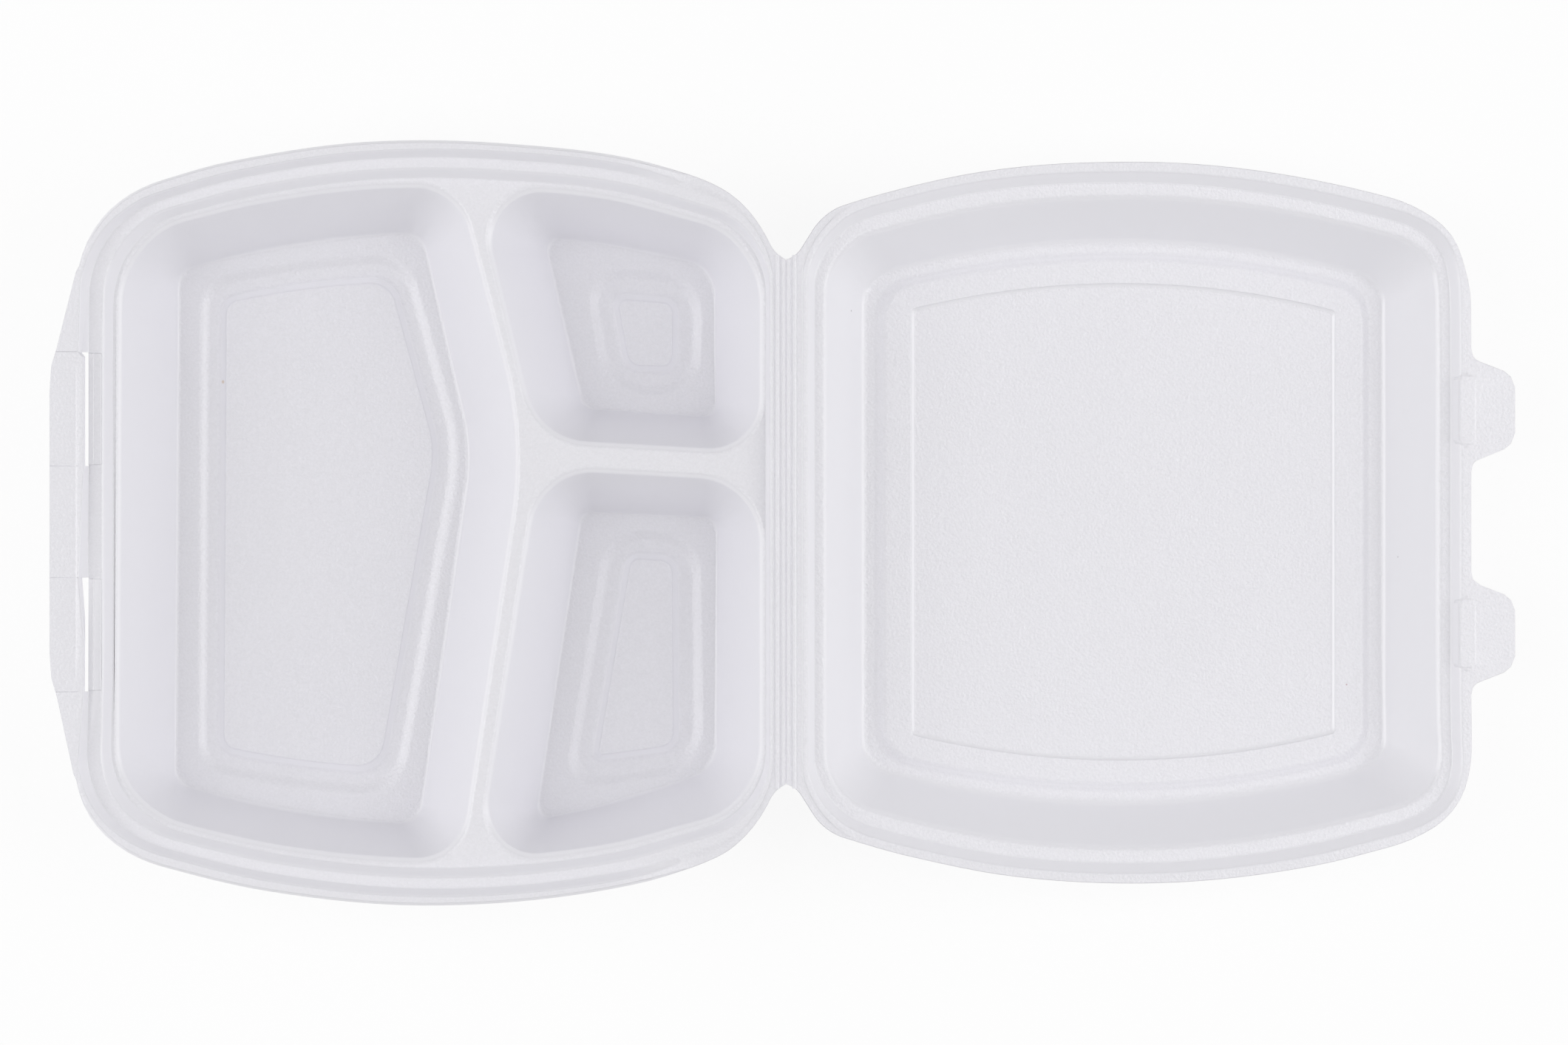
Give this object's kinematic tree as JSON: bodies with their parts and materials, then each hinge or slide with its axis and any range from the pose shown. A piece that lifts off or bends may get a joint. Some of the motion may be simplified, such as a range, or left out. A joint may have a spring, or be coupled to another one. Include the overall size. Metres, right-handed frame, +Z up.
{
  "type": "foam clamshell container",
  "caption": "Hinged foam takeaway box, fully open: compartmented base tray, ribbed fold and shallow lid whose tabs lock into slots behind the front lip.",
  "frame": {"origin": "centre of the footprint of the open container, on the surface it stands on", "axes": "+X from the base's front lip across the fold to the lid's tabs, +Y along the fold, +Z up"},
  "size_m": [0.462, 0.2382, 0.0527],
  "materials": {
    "base_foam": "satin white foam with a fine grain",
    "lid_foam": "satin white foam with a fine grain"
  },
  "bodies": {
    "base": {"base_tray": "base_foam"},
    "lid": {"lid": "lid_foam"}
  },
  "joints": [
    {"name": "lid_hinge", "type": "hinge", "parent": "base", "child": "lid", "pos_m": [-0.00011, 0, 0.04815], "axis": [0, -1, 0], "range_deg": [0, 186.19]}
  ]
}
